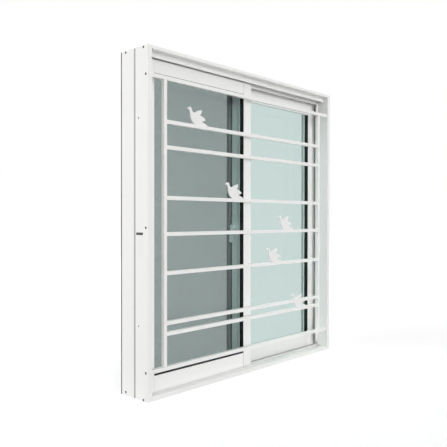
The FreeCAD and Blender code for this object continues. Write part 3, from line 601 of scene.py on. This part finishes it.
def mottled_material(name, colours, mottle, limits, rough, grain=None, **values):
    """A finish of two colours that a noise mixes, its roughness following, with a fine grain.

    The mottle is the noise's scale, detail and roughness, the limits are where it turns from the
    first colour to the second, and the grain is a noise scale with a bump's depth and strength.
    Other values go to the surface's own sockets.
    """
    material, nodes, links, surface = new_material(name)
    place = nodes.new("ShaderNodeTexCoord").outputs["Object"]
    tone = spread(nodes, links, noise(nodes, links, place, *mottle), *limits)
    links.new(mixed_colour(nodes, links, tone, *colours), surface.inputs["Base Color"])
    links.new(spread(nodes, links, tone, 0.0, 1.0, *rough), surface.inputs["Roughness"])
    if grain:
        scale, depth, strength = grain
        bump(nodes, links, surface, noise(nodes, links, place, scale, 2.0), depth, strength)
    for label, value in values.items():
        surface.inputs[label.replace("_", " ")].default_value = value
    return material


def rubber_material(name, colour):
    """Matt rubber or sealant with a fine moulded grain and a dull bloom."""
    colours = (colour, tuple(c + RUBBER_BLOOM for c in colour))
    return mottled_material(name, colours, (30.0, 4.0, 0.6), (0.4, 0.7), (0.50, 0.66),
                            grain=(1600.0, 0.00005, 0.5), Specular_IOR_Level=0.25)


def pile_material(name, colour):
    """Brush pile with streaks along the fibres' length."""
    material, nodes, links, surface = new_material(name)
    place = nodes.new("ShaderNodeTexCoord").outputs["Object"]
    scale = nodes.new("ShaderNodeMapping")
    scale.inputs["Scale"].default_value = (0.2, 1.0, 1.0)
    links.new(place, scale.inputs["Vector"])
    strands = noise(nodes, links, scale.outputs[0], 2600.0, 2.0)
    tone = spread(nodes, links, strands, 0.35, 0.65)
    links.new(mixed_colour(nodes, links, tone, tuple(0.4 * c for c in colour), colour),
              surface.inputs["Base Color"])
    surface.inputs["Roughness"].default_value = 0.9
    surface.inputs["Sheen Weight"].default_value = 0.25
    bump(nodes, links, surface, strands, 0.0004, 0.9)
    return material


def cloth_material():
    """Dark coated glass-fibre wire of the insect cloth."""
    colours = (CLOTH_DARK, tuple(1.8 * c for c in CLOTH_DARK))
    return mottled_material("insect_cloth_wire", colours, (400.0, 3.0), (0.3, 0.7), (0.45, 0.6))


def screw_material():
    """Brown-black plated steel of the screw heads, rubbed brighter in patches."""
    colours = (SCREW_BROWN, tuple(2.0 * c for c in SCREW_BROWN))
    return mottled_material("screw_plating", colours, (700.0, 3.0), (0.45, 0.75), (0.55, 0.38),
                            grain=(2500.0, 0.00002, 0.4), Metallic=0.35)


def plastic_material():
    """Moulded white plastic of the roller carriers."""
    colours = (ROLLER_WHITE, tuple(0.9 * c for c in ROLLER_WHITE))
    return mottled_material("roller_plastic", colours, (55.0, 3.0), (0.3, 0.7), (0.28, 0.4),
                            grain=(900.0, 0.00003, 0.4))


# Pieces

def insect_cloth(material):
    """The screen's cloth, upright and level wires that cross and touch."""
    low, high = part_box("screen_mesh")
    middle = (low + high) / 2
    width, height = high.x - low.x, high.z - low.z
    columns = int(width / CLOTH_PITCH)
    rows = int(height / CLOTH_PITCH)
    leave_all()
    bpy.ops.mesh.primitive_cylinder_add(
        vertices=6, radius=CLOTH_WIRE_RADIUS, depth=height, end_fill_type="NGON",
        location=(low.x + CLOTH_PITCH / 2, middle.y - CLOTH_WIRE_SHIFT, middle.z))
    upright = bpy.context.object
    settle(upright)
    apply_modifier(upright, "ARRAY", count=columns, use_relative_offset=False,
                   use_constant_offset=True, constant_offset_displace=(CLOTH_PITCH, 0, 0))
    leave_all()
    bpy.ops.mesh.primitive_cylinder_add(
        vertices=6, radius=CLOTH_WIRE_RADIUS, depth=width, end_fill_type="NGON",
        location=(middle.x, middle.y + CLOTH_WIRE_SHIFT, low.z + CLOTH_PITCH / 2),
        rotation=(0, math.radians(90), 0))
    level = bpy.context.object
    settle(level)
    apply_modifier(level, "ARRAY", count=rows, use_relative_offset=False,
                   use_constant_offset=True, constant_offset_displace=(0, 0, CLOTH_PITCH))
    leave_all()
    level.select_set(True)
    upright.select_set(True)
    bpy.context.view_layer.objects.active = upright
    bpy.ops.object.join()
    bpy.ops.object.shade_smooth_by_angle(angle=math.radians(70))
    finish_piece(upright, "insect_cloth", material)
    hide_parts("screen_mesh")


def screw_head():
    """One countersunk screw head with a cross recess, facing out of the left jamb."""
    outer = cad_low.x + SCREW_SUNK
    leave_all()
    bpy.ops.mesh.primitive_cylinder_add(vertices=32, radius=SCREW_RADIUS, depth=SCREW_DEPTH,
                                        location=(outer + SCREW_DEPTH / 2, 0, 0),
                                        rotation=(0, math.radians(-90), 0))
    head = bpy.context.object
    settle(head)
    apply_modifier(head, "BEVEL", width=SCREW_EDGE, segments=2, limit_method="ANGLE",
                   angle_limit=math.radians(60))
    for turn in (0, 90):
        leave_all()
        bpy.ops.mesh.primitive_cube_add(size=1, location=(outer, 0, 0),
                                        rotation=(math.radians(turn), 0, 0),
                                        scale=(2 * CROSS_DEPTH, CROSS_WIDTH, CROSS_LENGTH))
        cutter = bpy.context.object
        settle(cutter)
        apply_modifier(head, "BOOLEAN", object=cutter, operation="DIFFERENCE", solver="EXACT")
        take(cutter)
        bpy.ops.object.delete()
    take(head)
    bpy.ops.object.shade_smooth_by_angle(angle=math.radians(40))
    return head


def jamb_screws(material):
    """The screw heads of both jambs, copies of one head set into their seats."""
    pattern = screw_head()
    for side, turn in (("left", 0), ("right", 180)):
        heads = []
        for across, up in SCREW_PLACES:
            take(pattern)
            bpy.ops.object.duplicate(linked=False)
            head = bpy.context.object
            bpy.ops.transform.rotate(value=math.radians(turn), orient_axis="Z",
                                     center_override=(0, 0, 0))
            bpy.ops.transform.translate(value=(0, across, up))
            settle(head)
            heads.append(head)
        leave_all()
        for head in heads:
            head.select_set(True)
        bpy.context.view_layer.objects.active = heads[0]
        bpy.ops.object.join()
        finish_piece(bpy.context.object, "jamb_screws_" + side, material)
    take(pattern)
    bpy.ops.object.delete()


def press_channel(piece, outward, rim, depth):
    """Press a shallow channel into the face that looks outward, inside a rim."""
    take(piece)
    bpy.ops.object.mode_set(mode="EDIT")
    bpy.ops.mesh.select_all(action="DESELECT")
    bpy.ops.object.mode_set(mode="OBJECT")
    for polygon in piece.data.polygons:
        polygon.select = polygon.normal.dot(outward) > 0.9
    bpy.ops.object.mode_set(mode="EDIT")
    bpy.ops.mesh.select_mode(type="FACE")
    bpy.ops.mesh.inset(thickness=rim)
    bpy.ops.transform.translate(value=-depth * outward)
    bpy.ops.object.mode_set(mode="OBJECT")


def groove_strip(name, side, span, sunk, material):
    """A soft dark strip in a groove of one jamb, painted shade for the groove's dark line, with a
    shallow channel along its face.
    """
    start, end = span
    face = side * (cad_high.x - sunk)
    floor = side * (cad_high.x - GROOVE_FLOOR)
    leave_all()
    bpy.ops.mesh.primitive_cube_add(
        size=1, location=((face + floor) / 2, (start + end) / 2, (cad_low.z + cad_high.z) / 2),
        scale=(abs(face - floor), end - start, cad_high.z - cad_low.z - 2 * STRIP_END_GAP))
    strip = bpy.context.object
    settle(strip)
    press_channel(strip, Vector((side, 0, 0)), STRIP_CHANNEL, STRIP_CHANNEL_DEPTH)
    apply_modifier(strip, "BEVEL", width=STRIP_EDGE, segments=2, limit_method="ANGLE",
                   angle_limit=math.radians(20))
    take(strip)
    bpy.ops.object.shade_smooth_by_angle(angle=math.radians(50))
    finish_piece(strip, name, material)


def sash_trim(name, trim, material):
    """A bar of trim with rounded edges and a shallow channel in its front face."""
    spans, edge = trim[:3], trim[3] * MM
    sizes = [(end - start) * MM for start, end in spans]
    leave_all()
    bpy.ops.mesh.primitive_cube_add(
        size=1, location=[(start + end) / 2 * MM for start, end in spans], scale=sizes)
    bar = bpy.context.object
    settle(bar)
    narrow = min(sizes[0], sizes[2])
    press_channel(bar, Vector((0, -1, 0)), TRIM_RIM_SHARE * narrow, TRIM_CHANNEL_SHARE * narrow)
    apply_modifier(bar, "BEVEL", width=edge, segments=3, limit_method="ANGLE",
                   angle_limit=math.radians(60))
    take(bar)
    bpy.ops.object.shade_smooth_by_angle(angle=math.radians(50))
    finish_piece(bar, name, material)


def coat_frame(effects):
    """The frame's extrusions, the left jamb with the blank label."""
    frame_coat = coat_material("frame_powder_coat", COAT_WHITE, COAT_SHADE, FRAME_COAT, effects)
    jamb_coat = coat_material("jamb_powder_coat", COAT_WHITE, COAT_SHADE, FRAME_COAT, effects,
                              labelled=True)
    soft_edged("frame_jamb_left", "jamb_left_extrusion", jamb_coat, FRAME_EDGE)
    for part in ("head", "sill", "jamb_right"):
        soft_edged("frame_" + part, part + "_extrusion", frame_coat, FRAME_EDGE)
    soft_edged("channel_cover", "channel_cover_strip", frame_coat, FRAME_EDGE)


def coat_sashes(sash_painted_light_coat, effects):
    """Both sashes, in whites brighter than the frame's as painted light; the front bottom rail is
    painted lighter still and the rear bottom rail darker, as painted light and painted shade.
    """
    front_rail_painted_light = coat_material("front_rail_painted_light_coat", FRONT_RAIL_PAINTED_LIGHT_WHITE, SASH_PAINTED_LIGHT_WHITE, SASH_COAT,
                               effects)
    rear_rail_painted_shade = coat_material("rear_rail_painted_shade_coat", REAR_RAIL_PAINTED_SHADE_WHITE, BIRD_SHADE, SASH_COAT,
                              effects)
    # Painted light on the front bottom rail, painted shade on the rear one
    for sash, rail_painted_light_shade in (("front_sash", front_rail_painted_light), ("rear_sash", rear_rail_painted_shade)):
        for part in ("outer_stile", "meeting_stile", "top_rail", "bottom_rail"):
            coat = rail_painted_light_shade if part == "bottom_rail" else sash_painted_light_coat
            node = sash + "_" + part
            soft_edged(node, node + "_extrusion", coat, SASH_EDGE)


def coat_screen_and_grille(effects):
    """The insect screen's tubes, the grille's tubes and the birds on them."""
    screen_coat = coat_material("screen_grey_coat", SCREEN_GREY, SCREEN_SHADE, SCREEN_COAT, effects)
    grille_coat = coat_material("grille_powder_coat", COAT_WHITE, COAT_SHADE, GRILLE_COAT, effects)
    bird_coat = coat_material("bird_powder_coat", BIRD_WHITE, BIRD_SHADE, GRILLE_COAT, effects)
    for part in ("left_stile", "right_stile", "bottom_rail", "top_rail"):
        node = "screen_" + part
        soft_edged(node, node + "_tube", screen_coat, SASH_EDGE)
    bars = ["top_bar", "bottom_bar", "left_bar", "right_bar"] + ["bar_%d" % i for i in range(1, 8)]
    for bar in bars:
        node = "grille_" + bar
        soft_edged(node, node + "_tube", grille_coat, GRILLE_EDGE)
    soft_edged("grille_birds", "bird_silhouettes", bird_coat, BIRD_EDGE)


def coat_lock(effects):
    """The crescent lock's plate, lever and keeper."""
    lock_coat = coat_material("lock_enamel", LOCK_ENAMEL, LOCK_SHADE, LOCK_COAT, effects,
                              metallic=LOCK_METALLIC)
    for part in ("plate", "lever", "keeper"):
        soft_edged("lock_" + part, "crescent_lock_" + part, lock_coat, LOCK_EDGE)


def fit_trim(rubber, sash_painted_light_coat):
    """The dark strips in the jambs' grooves, painted shade for their dark lines, and the wedge,
    black line, bead and sealant on the sashes.
    """
    # Painted shade: a near-black strip in each jamb's rear groove draws its dark line
    seal_groove_shade = rubber_material("jamb_seal_rubber", SEAL_GROOVE_SHADE_GREY)
    # Painted shade: a grey strip in each jamb's anchor groove draws its dark line
    anchor_groove_shade = rubber_material("anchor_groove_painted_shade", ANCHOR_GROOVE_SHADE_GREY)
    for side, number in (("left", -1), ("right", 1)):
        groove_strip("jamb_seal_" + side, number, SEAL_GROOVE_SHADE_SPAN, SEAL_GROOVE_SHADE_SUNK, seal_groove_shade)
        groove_strip("anchor_groove_shade_" + side, number, ANCHOR_GROOVE_SHADE_SPAN, ANCHOR_GROOVE_SHADE_SUNK, anchor_groove_shade)
    joint = rubber_material("joint_sealant", JOINT_GREY)
    sash_trim("bottom_glazing_wedge", WEDGE, rubber)
    sash_trim("top_rail_black_line", TOP_RAIL_BLACK_LINE, rubber)
    sash_trim("rear_top_bead", REAR_BEAD, sash_painted_light_coat)
    sash_trim("sash_joint_low", JOINT_LOW, joint)
    sash_trim("sash_joint_high", JOINT_HIGH, joint)


def finish_plain_nodes(rubber):
    """Materials for the glass, rubber, pile and plastic, whose solids stay as they are."""
    glass = glass_material()
    spline = rubber_material("spline_rubber", SPLINE_GREY)
    pile = pile_material("black_brush_pile", PILE_BLACK)
    jamb_pile = pile_material("grey_brush_pile", PILE_GREY)
    plastic = plastic_material()
    finishes = {
        "front_sash_glass": glass, "rear_sash_glass": glass,
        "front_sash_gasket": rubber, "rear_sash_gasket": rubber, "screen_spline": spline,
        "brush_jamb_left": jamb_pile, "brush_jamb_right": jamb_pile, "screen_brush": pile,
        "front_sash_rollers": plastic, "rear_sash_rollers": plastic,
    }
    for node, material in finishes.items():
        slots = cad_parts[node].data.materials
        slots.clear()
        slots.append(material)


def dress_window():
    """Every piece with its finished form and material."""
    effects = (coat_grain_group(), edge_wear_group())
    coat_frame(effects)
    # The sashes' coat is a brighter copy of the frame's: painted light
    sash_painted_light_coat = coat_material("sash_painted_light_powder_coat", SASH_PAINTED_LIGHT_WHITE, SASH_PAINTED_LIGHT_SHADE, SASH_COAT, effects)
    coat_sashes(sash_painted_light_coat, effects)
    coat_screen_and_grille(effects)
    coat_lock(effects)
    insect_cloth(cloth_material())
    jamb_screws(screw_material())
    rubber = rubber_material("gasket_rubber", RUBBER_BLACK)
    fit_trim(rubber, sash_painted_light_coat)
    finish_plain_nodes(rubber)


place_camera()
set_studio()
dress_window()
